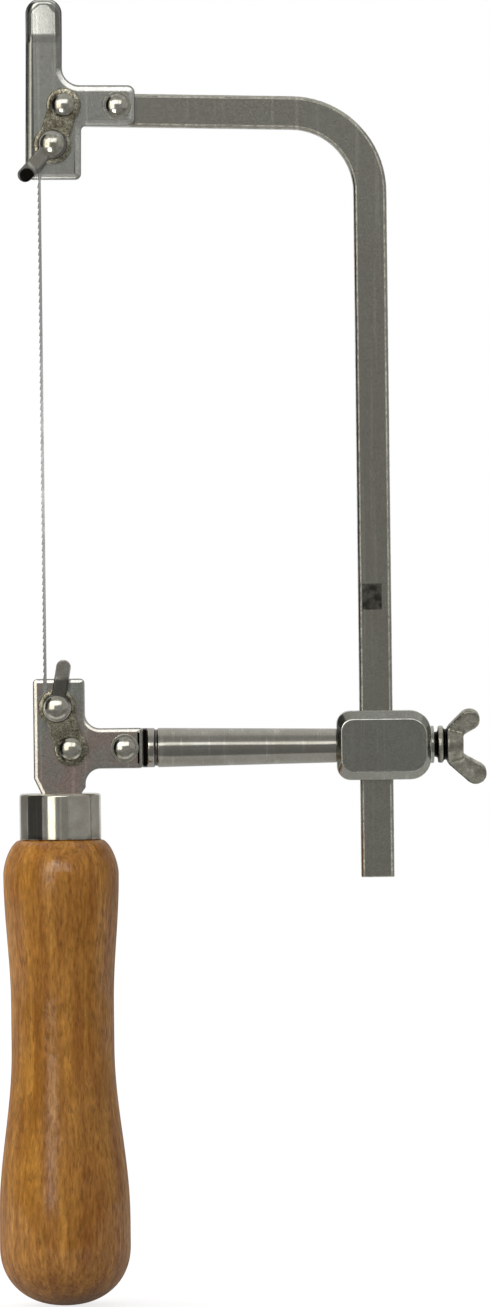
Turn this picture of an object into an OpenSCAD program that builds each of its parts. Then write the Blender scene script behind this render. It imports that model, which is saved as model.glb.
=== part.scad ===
// Fret saw: a bent flat frame that slides in a block on a round arm, with two lever clamps for a plain blade
// and a turned wooden handle. Z runs up the handle, X from the blade to the back bar, and the front faces -Y.

/* [Handle] */
// Length of the turned wood, from the butt to the shoulder under the ferrule
handle_l = 110.7; // [100:0.1:130]
// Diameter of the belly that fills the palm
belly_d = 31.2; // [29:0.1:36]
// Diameter of the waist between thumb and finger
waist_d = 24.5; // [22:0.1:26]
// Diameter of the shoulder near the top
shoulder_d = 27.5; // [26.2:0.1:31]
// Height of the rounded butt
butt_h = 14.4; // [10:0.1:18]
// Height of the straight stretch of the belly
belly_h = 6; // [2:0.1:12]
// Height of the waist's lower end above the butt
waist_up = 61.4; // [50:0.1:66]
// Height of the straight stretch of the waist
waist_h = 10; // [4:0.1:16]
// Height of the rounded shoulder
shoulder_h = 8; // [5:0.1:11]

/* [Ferrule] */
// Outer diameter of the ferrule
ferrule_d = 19.4; // [18:0.1:22]
// Height of the ferrule above the wood's shoulder
ferrule_h = 11.1; // [9:0.1:16]
// Wall of the ferrule and of its cap
ferrule_wall = 0.8; // [0.5:0.05:1.2]

/* [Brackets] */
// Thickness of both bracket plates
plate_t = 2.6; // [2:0.1:3.2]
// Height of the bracket tabs that lie on the arms
tab_h = 9.6; // [9:0.1:12]
// Reach of the tabs from the stem's centre line
tab_l = 19.7; // [19:0.1:24]
// Width of the lower bracket's stem
low_stem_w = 12.3; // [12:0.1:15]
// Height of the lower bracket above the arm's centre line
low_stem_up = 16.7; // [15.8:0.1:20]
// Height of the arm's centre line above the ferrule
neck_rise = 10.6; // [9.8:0.1:16]
// Radius of the lower bracket's inner corners
low_fillet_r = 3.6; // [2:0.1:4]
// Length of the tang below the ferrule's top
tang_l = 40; // [25:0.5:55]
// Width of the tang's tip
tang_tip_w = 5; // [3:0.1:7]
// Width of the upper bracket's stem
up_stem_w = 13.2; // [12.6:0.1:15]
// Reach of the upper bracket below its tab's centre line
up_stem_down = 17.6; // [16.6:0.1:21]
// Width of the thumb tab on the upper bracket
thumb_w = 8.6; // [7.2:0.1:10]
// Radius of the corners at the thumb tab's tip
thumb_tip_r = 3.5; // [1:0.1:4.2]
// Height of the thumb tab above the tab's centre line
thumb_up = 25.2; // [18:0.1:32]
// Length of the thumb tab's bent tip
thumb_tip_l = 8.8; // [6:0.1:11]
// Forward bend of the thumb tab's tip, in degrees
thumb_bend = 16; // [0:1:30]
// Radius of the inner corner beside the thumb tab
thumb_fillet_r = 4.3; // [2:0.1:6]
// Clockwise lean of the upper bracket on its arm, in degrees
bracket_lean = 0.7; // [0:0.1:1.5]

/* [Frame bar] */
// Depth of the throat, from the blade's centre to the back bar
throat_depth = 74.8; // [60:0.1:120]
// Width of the flat bar
bar_w = 7.9; // [7:0.1:9]
// Thickness of the flat bar
bar_t = 4; // [3:0.1:5]
// Inner radius of the bend
bend_r = 15; // [8:0.1:25]
// Slope of the top arm, which splays the frame open, in degrees
splay = 1.5; // [0:0.1:3]
// Length of the bar that stands out below the block
stub_l = 23.2; // [20:0.1:60]
// Chamfer along the bar's edges
bar_chamfer = 0.6; // [0.2:0.1:1]

/* [Lower arm] */
// Diameter of the round arm at the bracket
arm_d = 9.4; // [8.4:0.1:10]
// Diameter of the round arm at the block
arm_end_d = 8.1; // [7.4:0.1:9.4]
// Width of the slit between the bracket's tab and the arm's collar
lap_slit = 1.3; // [0.6:0.1:2]
// Width of the collar
collar_w = 1.6; // [1:0.1:3]
// Width of the groove behind the collar
groove_w = 0.8; // [0.4:0.1:1.4]
// Depth of the groove
groove_depth = 0.35; // [0.1:0.05:0.6]
// Length of the spigot inside the block
spigot_l = 4.2; // [2:0.1:4.6]
// Diameter of the spigot
spigot_d = 5; // [4:0.1:6]

/* [Slider block] */
// Width of the block
block_w = 22.4; // [21:0.1:28]
// Height of the block
block_h = 16.5; // [14:0.1:22]
// Thickness of the block
block_t = 11.6; // [10:0.1:15]
// Metal between the arm and the bar
block_wall = 5.5; // [5:0.1:7]
// Radius of the corners on the arm's side
block_left_r = 3.2; // [1.6:0.1:5]
// Radius of the corners on the wing screw's side
block_right_r = 5; // [1.6:0.1:6.5]
// Depth of the bevels around the block's faces
block_bevel = 1.5; // [0.6:0.1:2]
// Width of the bevels at the block's two ends
bevel_end = 1; // [0.5:0.1:2]
// Width of the bevels along the block's top and bottom
bevel_side = 2; // [0.5:0.1:3]
// Radius of the face's corners on the arm's side
face_left_r = 2.9; // [1:0.1:4]
// Radius of the face's corners on the wing screw's side
face_right_r = 3.9; // [1:0.1:5]
// Clearance between the bar and its slot
slot_gap = 0.1; // [0.05:0.01:0.2]

/* [Wing screw] */
// Diameter of the wing screw's thread
wing_thread_d = 6; // [5:0.1:7]
// Diameter of the boss on the block and of the flange on the screw
flange_d = 8.9; // [8.2:0.1:10]
// Thickness of the boss
boss_l = 0.8; // [0.4:0.1:2]
// Gap between boss and flange when the screw is tight
screw_gap = 0.9; // [0.3:0.1:3]
// Thickness of the flange
flange_l = 1.3; // [0.8:0.1:2.5]
// Length of the hub behind the flange's groove
hub_l = 3.9; // [3:0.1:6]
// Thickness of the wings
wing_t = 2.3; // [1.5:0.1:3]
// Turn of the wings about the screw's axis, in degrees
wing_turn = 24; // [0:1:90]
// Thickness of the pressure pad at the screw's tip
pad_l = 1.6; // [1:0.1:2.5]

/* [Blade and clamps] */
// Free length of blade between the two brackets
blade_free = 118.8; // [100:0.1:160]
// Length of blade past each bracket's edge
blade_hold = 6.8; // [6.2:0.1:8]
// Width of the blade
blade_w = 0.85; // [0.6:0.05:1.4]
// Thickness of the blade
blade_t = 0.4; // [0.2:0.05:0.6]
// Pitch of the teeth
tooth_pitch = 1.6; // [1:0.1:2.5]
// Distance of the blade from the handle's centre line
blade_off = 3.25; // [3:0.05:3.6]
// Thread diameter of the clamp screws
clamp_d = 4; // [3.4:0.1:4.2]
// Radius of the clamp screws' domed heads
clamp_head_r = 2.8; // [2.6:0.1:3.2]
// Height of the clamp screws' heads
clamp_head_h = 2; // [1.2:0.1:2.6]
// Thickness of the jaw plates
jaw_t = 1.6; // [1:0.1:2.2]
// Radius of the jaw plates around the screw
jaw_r = 4.5; // [4.4:0.1:5]
// Radius of the jaw plates around the guide rivet
jaw_foot_r = 4.1; // [3.6:0.1:4.3]
// Width of the jaw plates between their round ends
jaw_waist_w = 7; // [5:0.1:7]
// Reach of the clamp levers from the screw's axis
lever_l = 11.5; // [9.5:0.1:13]
// Width of the clamp levers
lever_w = 3.5; // [2.6:0.1:4]
// Thickness of the clamp levers
lever_t = 1.2; // [0.8:0.1:1.6]
// Outward bend of the levers' tips, in degrees
lever_bend = 18; // [0:1:30]
// Width across flats of the clamp nuts
nut_af = 7; // [6.4:0.1:7.4]
// Thickness of the clamp nuts
nut_t = 2.4; // [1.6:0.1:3.2]

/* [Rivets] */
// Diameter of the rivet shanks
rivet_d = 3; // [2:0.1:3.2]
// Radius of the rivet heads
rivet_head_r = 2.6; // [2.4:0.1:3]
// Height of the rivet heads
rivet_head_h = 1.5; // [0.8:0.1:2]
// Diameter of the guide rivets' shoulders, on which the jaws slide
guide_d = 3.8; // [3.4:0.1:4.2]
// Radius of the washers under the plain rivets
washer_r = 3.4; // [3:0.1:4.2]
// Thickness of the washers
washer_t = 0.5; // [0.3:0.1:1]

/* [Hidden] */
$fn = 96;

// Overrun of every cut past the surface it leaves
over = 0.5;
// Overlap of stretches of one piece that meet end to end
join = 0.01;
// Clearances: parts that are fixed together, parts that run or slide, and faces that meet
fixed_gap = 0.05;
run_gap = 0.06;
face_gap = 0.04;
wood_gap = 0.1;

// Heights of the main levels, up the handle's centre line
shoulder_z = handle_l / 2;
ferrule_z = shoulder_z + ferrule_h;
arm_z = ferrule_z + neck_rise;
low_top_z = arm_z + low_stem_up;
up_bottom_z = low_top_z + blade_free;
up_tab_z = up_bottom_z + up_stem_down;

// Depths: the plates lie about the handle's centre plane, the frame behind them, and the jaws in front
plate_front_y = -plate_t / 2;
plate_back_y = plate_t / 2;
frame_y = plate_back_y + bar_t / 2;
jaw_gap = blade_t + 2 * face_gap;
jaw_y = plate_front_y - jaw_gap;
lever_y = jaw_y - jaw_t - face_gap;
head_y = lever_y - lever_t;
// The guide rivets' heads leave the jaws room to open
jaw_travel = 0.35;
guide_head_y = jaw_y - jaw_t - jaw_travel;

// Places of the fasteners across the brackets
guide_x = 2.8;
rivet_x = 15.5;
up_screw_x = 0.15;
low_screw_x = -0.4;
up_screw_up = 8.2;
low_screw_down = 6.85;
up_screw_z = up_bottom_z + up_screw_up;
low_screw_z = low_top_z - low_screw_down;
tail_head_r = 2.3;
tail_head_h = 1.2;

// Directions of the clamp levers, anticlockwise from +X as seen from the front
up_lever_dir = 229;
low_lever_dir = 80;
lever_eye_r = 3.4;
lever_flat_l = 7.4;

// Outline of the lower bracket's foot, and the lap of the arm on it
foot_left_cut = [1.7, 3.6];
foot_right_cut = [1, 1.4];
low_tab_corner_r = 0.6;
up_tab_corner_r = 1.7;
up_stem_corner_r = 1.4;
up_inner_r = 1.2;
up_stem_shift = 0.35;

// The frame bar's centre lines
blade_x = -blade_off;
bar_x = blade_x + throat_depth + bar_w / 2;
bend_mid_r = bend_r + bar_w / 2;
bend_x = bar_x - bend_mid_r;
arm_drop = 0.7;
bend_reach = bend_mid_r * cos(splay) + (bend_x + bend_mid_r * sin(splay) - guide_x) * tan(splay);
bend_z = up_tab_z - arm_drop - bend_reach;
top_arm_end_gap = 4;
top_arm_l = (bend_x + bend_mid_r * sin(splay) - guide_x + top_arm_end_gap) / cos(splay);

// The block and what is screwed into it
block_x = bar_x - bar_w / 2 - block_wall;
block_right_x = block_x + block_w;
bar_end_z = arm_z - block_h / 2 - stub_l;
pad_x = bar_x + bar_w / 2 + face_gap;
shank_x = pad_x + pad_l + face_gap;
flange_x = block_right_x + boss_l + screw_gap;
hub_groove_l = 0.9;
hub_groove_d = 7.2;
hub_x = flange_x + flange_l + hub_groove_l;
// Lobes of the two wings: distance along the screw, distance from its axis, and radius
upper_lobe = [5.3, 6.5, 2.5];
lower_lobe = [6.9, 7.6, 2.6];
wing_root_r = 1.9;
wing_root_rise = 3.8;

// The round arm's lap
collar_x = tab_l + lap_slit;
arm_x = collar_x + collar_w + groove_w;
tail_seat_depth = 1.4;
tail_seat_gap = 0.25;
low_seat_y = frame_y + arm_d / 2 - tail_seat_depth;
up_seat_y = frame_y + bar_t / 2;

// The plain strip at each end of the blade and the depth of its teeth
tooth_depth = 0.28;
blade_l = blade_free + 2 * blade_hold;
tooth_count = floor(blade_free / tooth_pitch);

// Swell of the butt and the shoulder: 2 is an ellipse, less is nearer a chamfer, more is squarer
butt_swell = 2.2;
shoulder_swell = 1.6;
turn_steps = 12;
wood_step = 0.25;
neck_top_gap = 0.5;

// A flat piece in the XZ plane, from the depth y towards the front
module sheet(y, t) {
    translate([0, y, 0]) rotate([90, 0, 0]) linear_extrude(t) children();
}

// Something built along +Z, turned to face the front at a place on the plates
module facing_front(x, y, z) {
    translate([x, y, z]) rotate([90, 0, 0]) children();
}

// The same, facing the back
module facing_back(x, y, z) {
    translate([x, y, z]) rotate([-90, 0, 0]) children();
}

// A round hole through the plates and arms, front to back
module cross_hole(x, z, r) {
    facing_front(x, frame_y + arm_d + over, z) cylinder(r = r, h = 2 * (arm_d + plate_t + bar_t));
}

// Everything on the upper bracket leans with it about the guide rivet
module leaning() {
    translate([guide_x, 0, up_tab_z]) rotate([0, bracket_lean, 0]) translate([-guide_x, 0, -up_tab_z])
        children();
}

// A strip along +X with its back at Y = 0, flat for a length and then bent towards the front
module bent_strip(back, flat, tip, t, bend, w) {
    end = [flat + tip * cos(bend), -tip * sin(bend)];
    translate([0, 0, -w / 2]) linear_extrude(w)
        polygon([[-back, 0], [flat, 0], end, end - t * [sin(bend), cos(bend)], [flat - t * tan(bend / 2), -t],
            [-back, -t]]);
}

// A low dome of base radius r and height h
module dome(r, h) {
    ball_r = (r * r + h * h) / (2 * h);
    rotate_extrude() intersection() {
        translate([0, h - ball_r]) circle(r = ball_r);
        square([r, h]);
    }
}

// The web that rounds the inner corner between an edge at x and one at y, above (up = 1) or below (up = -1)
module inner_corner(x, y, r, up) {
    difference() {
        translate([0, min(0, up * (y + r))]) square([x + r, y + r]);
        translate([x + r, up * (y + r)]) circle(r = r);
    }
}

// A rectangle with its right-hand corners rounded
module right_rounded(w, h, r) {
    square([w - r, h]);
    translate([0, r]) square([w, h - 2 * r]);
    for (y = [r, h - r]) translate([w - r, y]) circle(r = r);
}

// Radii of the turned wood, from the butt up to the shoulder
function end_curve(r0, r1, z, h, swell, a) =
    [r0 + (r1 - r0) * pow(cos(a), 2 / swell), z + h * pow(sin(a), 2 / swell)];
function sweep_curve(r0, r1, z0, z1, t) =
    [r0 + (r1 - r0) * (1 - cos(180 * t)) / 2, z0 + (z1 - z0) * t];

module handle_outline() {
    belly_z = butt_h - shoulder_z;
    waist_z = waist_up - shoulder_z;
    curve_z = shoulder_z - shoulder_h;
    belly_r = belly_d / 2;
    waist_r = waist_d / 2;
    top_r = shoulder_d / 2;
    seat_r = ferrule_d / 2 + wood_step;
    steps = [1 : turn_steps];
    sweep_steps = [0 : turn_steps];
    polygon(concat(
        [[0, -shoulder_z]],
        [for (i = steps) end_curve(0, belly_r, belly_z, -butt_h, butt_swell, 90 * (1 - i / turn_steps))],
        [for (i = sweep_steps) sweep_curve(belly_r, waist_r, belly_z + belly_h, waist_z, i / turn_steps)],
        [for (i = sweep_steps) sweep_curve(waist_r, top_r, waist_z + waist_h, curve_z, i / turn_steps)],
        [for (i = steps) end_curve(seat_r, top_r, curve_z, shoulder_h, shoulder_swell, 90 * i / turn_steps)],
        [[0, shoulder_z]]));
}

// The tang's outline, widened by gap for the hole that takes it
module tang_outline(gap) {
    left = low_stem_w / 2 - foot_left_cut[0];
    right = low_stem_w / 2 - foot_right_cut[0];
    tip = tang_tip_w / 2;
    polygon([[-left - gap, ferrule_z], [-tip - gap, ferrule_z - tang_l - gap],
        [tip + gap, ferrule_z - tang_l - gap], [right + gap, ferrule_z]]);
}

module handle() {
    neck_r = ferrule_d / 2 - ferrule_wall - fixed_gap;
    neck_l = ferrule_h - ferrule_wall - neck_top_gap;
    color("peru") difference() {
        union() {
            rotate_extrude() handle_outline();
            translate([0, 0, shoulder_z - over]) cylinder(r = neck_r, h = neck_l + over);
        }
        sheet(plate_back_y + wood_gap, plate_t + 2 * wood_gap) tang_outline(wood_gap);
    }
}

module ferrule() {
    outer_r = ferrule_d / 2;
    rim_r = 0.7;
    color("lightgray") difference() {
        translate([0, 0, shoulder_z]) rotate_extrude() {
            square([outer_r, ferrule_h - rim_r]);
            square([outer_r - rim_r, ferrule_h]);
            translate([outer_r - rim_r, ferrule_h - rim_r]) circle(r = rim_r);
        }
        translate([0, 0, shoulder_z - over])
            cylinder(r = outer_r - ferrule_wall, h = ferrule_h - ferrule_wall + over);
        sheet(plate_back_y + wood_gap, plate_t + 2 * wood_gap) translate([0, over]) tang_outline(wood_gap);
    }
}

module lower_bracket_outline() {
    half = low_stem_w / 2;
    foot_z = -neck_rise;
    translate([0, arm_z]) {
        polygon([[-half, low_stem_up], [-half, foot_z + foot_left_cut[1]],
            [foot_left_cut[0] - half, foot_z], [-tang_tip_w / 2, foot_z - tang_l],
            [tang_tip_w / 2, foot_z - tang_l], [half - foot_right_cut[0], foot_z],
            [half, foot_z + foot_right_cut[1]], [half, low_stem_up]]);
        translate([0, -tab_h / 2]) right_rounded(tab_l, tab_h, low_tab_corner_r);
        for (up = [-1, 1]) inner_corner(half, tab_h / 2, low_fillet_r, up);
    }
}

module lower_bracket() {
    color("silver") difference() {
        sheet(plate_back_y, plate_t) lower_bracket_outline();
        for (x = [guide_x, rivet_x]) cross_hole(x, arm_z, rivet_d / 2 + fixed_gap);
        cross_hole(low_screw_x, low_screw_z, clamp_d / 2 + run_gap);
    }
}

module upper_bracket_outline() {
    left = up_stem_shift - up_stem_w / 2;
    translate([0, up_tab_z]) {
        translate([left, -up_stem_down]) right_rounded(up_stem_w, up_stem_down + tab_h / 2, up_stem_corner_r);
        translate([left, 0]) square([thumb_w, thumb_up - thumb_tip_r]);
        translate([left + thumb_tip_r, 0]) square([thumb_w - 2 * thumb_tip_r, thumb_up]);
        for (x = [thumb_tip_r, thumb_w - thumb_tip_r])
            translate([left + x, thumb_up - thumb_tip_r]) circle(r = thumb_tip_r);
        translate([0, -tab_h / 2]) right_rounded(tab_l, tab_h, up_tab_corner_r);
        inner_corner(left + thumb_w, tab_h / 2, thumb_fillet_r, 1);
        inner_corner(left + up_stem_w, tab_h / 2, up_inner_r, -1);
    }
}

module upper_bracket() {
    deep = thumb_up;
    thumb_flat_l = thumb_up - thumb_tip_l;
    color("silver") leaning() difference() {
        intersection() {
            sheet(deep, 2 * deep) upper_bracket_outline();
            translate([0, plate_back_y, up_tab_z]) rotate([0, -90, 0])
                bent_strip(up_stem_down + over, thumb_flat_l, 2 * thumb_tip_l, plate_t, thumb_bend, 4 * tab_l);
        }
        for (x = [guide_x, rivet_x]) cross_hole(x, up_tab_z, rivet_d / 2 + fixed_gap);
        cross_hole(up_screw_x, up_screw_z, clamp_d / 2 + run_gap);
    }
}

// The arm is round, with half of it cut away where it laps the bracket
module lower_arm() {
    color("darkgray") difference() {
        union() {
            translate([guide_x, frame_y, arm_z]) rotate([0, 90, 0]) cylinder(d = arm_d, h = arm_x - guide_x);
            intersection() {
                translate([guide_x - arm_d, frame_y, arm_z]) rotate([0, 90, 0])
                    cylinder(d = arm_d, h = 2 * arm_d);
                cross_hole(guide_x, arm_z, arm_d / 2);
            }
            translate([arm_x, frame_y, arm_z]) rotate([0, 90, 0])
                cylinder(d1 = arm_d, d2 = arm_end_d, h = block_x - arm_x);
            translate([block_x - over, frame_y, arm_z]) rotate([0, 90, 0])
                cylinder(d = spigot_d, h = spigot_l + over);
        }
        translate([guide_x - arm_d, plate_back_y - 2 * arm_d, arm_z - arm_d])
            cube([collar_x - guide_x + arm_d, 2 * arm_d, 2 * arm_d]);
        translate([collar_x + collar_w, frame_y, arm_z]) rotate([0, 90, 0]) difference() {
            cylinder(d = arm_d + over, h = groove_w);
            cylinder(d = arm_d - 2 * groove_depth, h = groove_w);
        }
        for (x = [guide_x, rivet_x]) {
            cross_hole(x, arm_z, rivet_d / 2 + fixed_gap);
            facing_back(x, low_seat_y, arm_z)
                cylinder(r = tail_head_r + tail_seat_gap, h = tail_seat_depth + over);
        }
    }
}

// The block's outline from the front, drawn in at its ends and sides, with its corner radii
module block_outline(end, side, left_r, right_r) {
    for (up = [-1, 1]) {
        translate([block_x + end + left_r, arm_z + up * (block_h / 2 - side - left_r)])
            circle(r = left_r, $fn = 32);
        translate([block_right_x - end - right_r, arm_z + up * (block_h / 2 - side - right_r)])
            circle(r = right_r, $fn = 32);
    }
}

module slider_block() {
    bore_x = bar_x + bar_w / 2 - over;
    color("gray") difference() {
        union() {
            hull() {
                sheet(frame_y + block_t / 2 - block_bevel, block_t - 2 * block_bevel)
                    block_outline(0, 0, block_left_r, block_right_r);
                sheet(frame_y + block_t / 2, block_t)
                    block_outline(bevel_end, bevel_side, face_left_r, face_right_r);
            }
            translate([block_right_x - block_bevel, frame_y, arm_z]) rotate([0, 90, 0])
                cylinder(d = flange_d, h = block_bevel + boss_l);
        }
        translate([bar_x - bar_w / 2 - slot_gap, frame_y - bar_t / 2 - slot_gap, arm_z - block_h])
            cube([bar_w + 2 * slot_gap, bar_t + 2 * slot_gap, 2 * block_h]);
        translate([bore_x, frame_y, arm_z]) rotate([0, 90, 0])
            cylinder(d = wing_thread_d + 2 * run_gap, h = block_w);
        translate([block_x - over, frame_y, arm_z]) rotate([0, 90, 0])
            cylinder(d = spigot_d + 2 * fixed_gap, h = spigot_l + over + face_gap);
    }
}

// The flat bar's section, centred, with its edges chamfered
module bar_section() {
    w = bar_w / 2;
    t = bar_t / 2;
    c = bar_chamfer;
    polygon([[-w, c - t], [c - w, -t], [w - c, -t], [w, c - t],
        [w, t - c], [w - c, t], [c - w, t], [-w, t - c]]);
}

module frame_bar() {
    color("dimgray") difference() {
        union() {
            translate([bar_x, frame_y, bar_end_z]) linear_extrude(bend_z - bar_end_z + join) bar_section();
            translate([bend_x, frame_y, bend_z]) {
                rotate([90, 0, 0]) rotate_extrude(angle = 90 - splay) translate([bend_mid_r, 0]) bar_section();
                rotate([0, splay - 90, 0]) translate([bend_mid_r, 0, -join]) linear_extrude(top_arm_l + join)
                    bar_section();
            }
        }
        for (x = [guide_x, rivet_x]) leaning() cross_hole(x, up_tab_z, rivet_d / 2 + fixed_gap);
    }
}

// A plain rivet on a washer, from the plate's front to the seat of its tail
module rivet(x, z, seat_y) {
    facing_front(x, plate_front_y - washer_t, z) dome(rivet_head_r, rivet_head_h);
    facing_front(x, seat_y, z) cylinder(d = rivet_d, h = seat_y - plate_front_y + washer_t);
    facing_back(x, seat_y, z) dome(tail_head_r, tail_head_h);
}

// A guide rivet stands on a shoulder, so that the jaw slides under its head
module guide_rivet(x, z, seat_y) {
    facing_front(x, guide_head_y, z) dome(rivet_head_r, rivet_head_h);
    facing_front(x, plate_front_y, z) cylinder(d = guide_d, h = plate_front_y - guide_head_y);
    facing_front(x, seat_y, z) cylinder(d = rivet_d, h = seat_y - plate_front_y);
    facing_back(x, seat_y, z) dome(tail_head_r, tail_head_h);
}

module washer(x, z) {
    facing_front(x, plate_front_y, z) difference() {
        cylinder(r = washer_r, h = washer_t);
        translate([0, 0, -over]) cylinder(d = rivet_d + 2 * fixed_gap, h = washer_t + 2 * over);
    }
}

module clamp_nut(x, z) {
    facing_back(x, plate_back_y, z) difference() {
        rotate([0, 0, 30]) cylinder(d = nut_af / cos(30), h = nut_t, $fn = 6);
        translate([0, 0, -over]) cylinder(d = clamp_d + 2 * run_gap, h = nut_t + 2 * over);
    }
}

// A jaw plate links the screw to its guide rivet, where a heel spaces it off by the blade's thickness
module jaw(x, z, foot_z) {
    run = norm([guide_x - x, foot_z - z]);
    turn = atan2(foot_z - z, guide_x - x);
    heel_share = 0.4;
    heel_r = guide_d / 2 + heel_share * (jaw_foot_r - guide_d / 2);
    difference() {
        union() {
            sheet(jaw_y, jaw_t) {
                translate([x, z]) circle(r = jaw_r);
                translate([guide_x, foot_z]) circle(r = jaw_foot_r);
                translate([x, z]) rotate(turn) translate([0, -jaw_waist_w / 2]) square([run, jaw_waist_w]);
            }
            facing_front(guide_x, plate_front_y - face_gap, foot_z) cylinder(r = heel_r, h = jaw_gap);
        }
        cross_hole(x, z, clamp_d / 2 + run_gap);
        cross_hole(guide_x, foot_z, guide_d / 2 + run_gap);
    }
}

module clamp_screw(x, z) {
    end_out = 1;
    end_y = plate_back_y + nut_t + end_out;
    end_chamfer = 0.5;
    facing_front(x, head_y, z) dome(clamp_head_r, clamp_head_h);
    facing_front(x, end_y - end_chamfer, z) cylinder(d = clamp_d, h = end_y - end_chamfer - head_y);
    facing_back(x, end_y - end_chamfer, z)
        cylinder(d1 = clamp_d, d2 = clamp_d - 2 * end_chamfer, h = end_chamfer);
}

// A lever has an eye under the screw's head, a flat arm, and a tip bent outwards
module clamp_lever(x, z, dir) {
    translate([x, lever_y, z]) rotate([0, -dir, 0]) difference() {
        intersection() {
            sheet(over, 2 * lever_l) {
                circle(r = lever_eye_r);
                translate([0, -lever_w / 2]) square([lever_l - lever_w / 2, lever_w]);
                translate([lever_l - lever_w / 2, 0]) circle(d = lever_w);
            }
            bent_strip(2 * lever_eye_r, lever_flat_l, lever_l, lever_t, lever_bend, 4 * lever_eye_r);
        }
        facing_front(0, over, 0) cylinder(d = clamp_d + 2 * fixed_gap, h = lever_t + 2 * over);
    }
}

// The teeth point down and away from the frame, so that the saw cuts on the pull
module blade() {
    back = blade_w / 2;
    low = low_top_z - blade_hold;
    gullet = tooth_depth - back;
    first = low + blade_hold;
    crest_share = 0.9;
    color("lightsteelblue") sheet(plate_front_y - face_gap, blade_t) translate([blade_x, 0])
        polygon(concat(
            [[-back, low], [back, low], [back, low + blade_l], [-back, low + blade_l]],
            [for (i = [tooth_count - 1 : -1 : 0], p = [1, 0])
                [p == 1 ? gullet : -back, first + (i + crest_share * p) * tooth_pitch]]));
}

module pressure_pad() {
    color("goldenrod") translate([pad_x, frame_y, arm_z]) rotate([0, 90, 0])
        cylinder(d = wing_thread_d, h = pad_l);
}

// One wing: a lobe drawn out of the hub, in the plane of the screw's axis
module wing(lobe) {
    hull() {
        translate([hub_l / 2, 0, wing_root_rise]) rotate([90, 0, 0])
            cylinder(r = wing_root_r, h = wing_t, center = true, $fn = 32);
        translate([lobe[0], 0, lobe[1]]) rotate([90, 0, 0])
            cylinder(r = lobe[2], h = wing_t, center = true, $fn = 32);
    }
}

module wing_screw() {
    color("silver") translate([0, frame_y, arm_z]) {
        rotate([0, 90, 0]) {
            translate([0, 0, shank_x]) cylinder(d = wing_thread_d, h = flange_x - shank_x);
            translate([0, 0, flange_x]) cylinder(d = flange_d, h = flange_l);
            translate([0, 0, flange_x]) cylinder(d = hub_groove_d, h = hub_x - flange_x);
            translate([0, 0, hub_x]) cylinder(d1 = flange_d, d2 = hub_groove_d, h = hub_l);
        }
        translate([hub_x, 0, 0]) rotate([wing_turn, 0, 0]) {
            wing(upper_lobe);
            mirror([0, 0, 1]) wing(lower_lobe);
        }
    }
}

module lower_guide_rivet() color("white") guide_rivet(guide_x, arm_z, low_seat_y);
module lower_rivet() color("white") rivet(rivet_x, arm_z, low_seat_y);
module lower_rivet_washer() color("lightgray") washer(rivet_x, arm_z);
module lower_clamp_nut() color("darkgray") clamp_nut(low_screw_x, low_screw_z);
module lower_jaw() color("gainsboro") jaw(low_screw_x, low_screw_z, arm_z);
module lower_clamp_screw() color("white") clamp_screw(low_screw_x, low_screw_z);
module lower_clamp_lever() color("slategray") clamp_lever(low_screw_x, low_screw_z, low_lever_dir);
module upper_guide_rivet() color("white") leaning() guide_rivet(guide_x, up_tab_z, up_seat_y);
module upper_rivet() color("white") leaning() rivet(rivet_x, up_tab_z, up_seat_y);
module upper_rivet_washer() color("lightgray") leaning() washer(rivet_x, up_tab_z);
module upper_clamp_nut() color("darkgray") leaning() clamp_nut(up_screw_x, up_screw_z);
module upper_jaw() color("gainsboro") leaning() jaw(up_screw_x, up_screw_z, up_tab_z);
module upper_clamp_screw() color("white") leaning() clamp_screw(up_screw_x, up_screw_z);
module upper_clamp_lever() color("slategray") leaning() clamp_lever(up_screw_x, up_screw_z, up_lever_dir);

handle();
ferrule();
lower_bracket();
lower_arm();
slider_block();
lower_guide_rivet();
lower_rivet();
lower_rivet_washer();
lower_clamp_nut();
lower_jaw();
lower_clamp_screw();
lower_clamp_lever();
frame_bar();
upper_bracket();
upper_guide_rivet();
upper_rivet();
upper_rivet_washer();
upper_clamp_nut();
upper_jaw();
upper_clamp_screw();
upper_clamp_lever();
blade();
pressure_pad();
wing_screw();
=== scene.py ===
import math

import bmesh
import bpy
from mathutils import Euler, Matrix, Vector


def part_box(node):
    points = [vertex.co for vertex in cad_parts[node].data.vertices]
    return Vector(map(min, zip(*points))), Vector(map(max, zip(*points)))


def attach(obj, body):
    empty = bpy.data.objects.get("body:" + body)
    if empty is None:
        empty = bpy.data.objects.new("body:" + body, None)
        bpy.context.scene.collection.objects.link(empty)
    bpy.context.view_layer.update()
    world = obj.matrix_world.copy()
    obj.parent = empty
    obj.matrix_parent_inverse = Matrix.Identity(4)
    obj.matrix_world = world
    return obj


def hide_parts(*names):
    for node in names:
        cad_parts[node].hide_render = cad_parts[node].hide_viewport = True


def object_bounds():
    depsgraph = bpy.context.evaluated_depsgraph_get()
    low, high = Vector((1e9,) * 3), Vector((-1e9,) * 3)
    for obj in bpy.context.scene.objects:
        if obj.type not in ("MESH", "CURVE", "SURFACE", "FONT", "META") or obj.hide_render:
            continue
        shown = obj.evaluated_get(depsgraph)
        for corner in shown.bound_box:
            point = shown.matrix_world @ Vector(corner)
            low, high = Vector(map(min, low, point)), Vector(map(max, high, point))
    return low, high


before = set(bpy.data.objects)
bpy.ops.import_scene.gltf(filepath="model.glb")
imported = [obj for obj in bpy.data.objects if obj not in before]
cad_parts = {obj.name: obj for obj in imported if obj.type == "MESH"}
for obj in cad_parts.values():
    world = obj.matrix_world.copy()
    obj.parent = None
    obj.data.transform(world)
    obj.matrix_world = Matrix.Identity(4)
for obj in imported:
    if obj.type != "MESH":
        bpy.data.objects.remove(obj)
cad_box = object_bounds()


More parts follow.
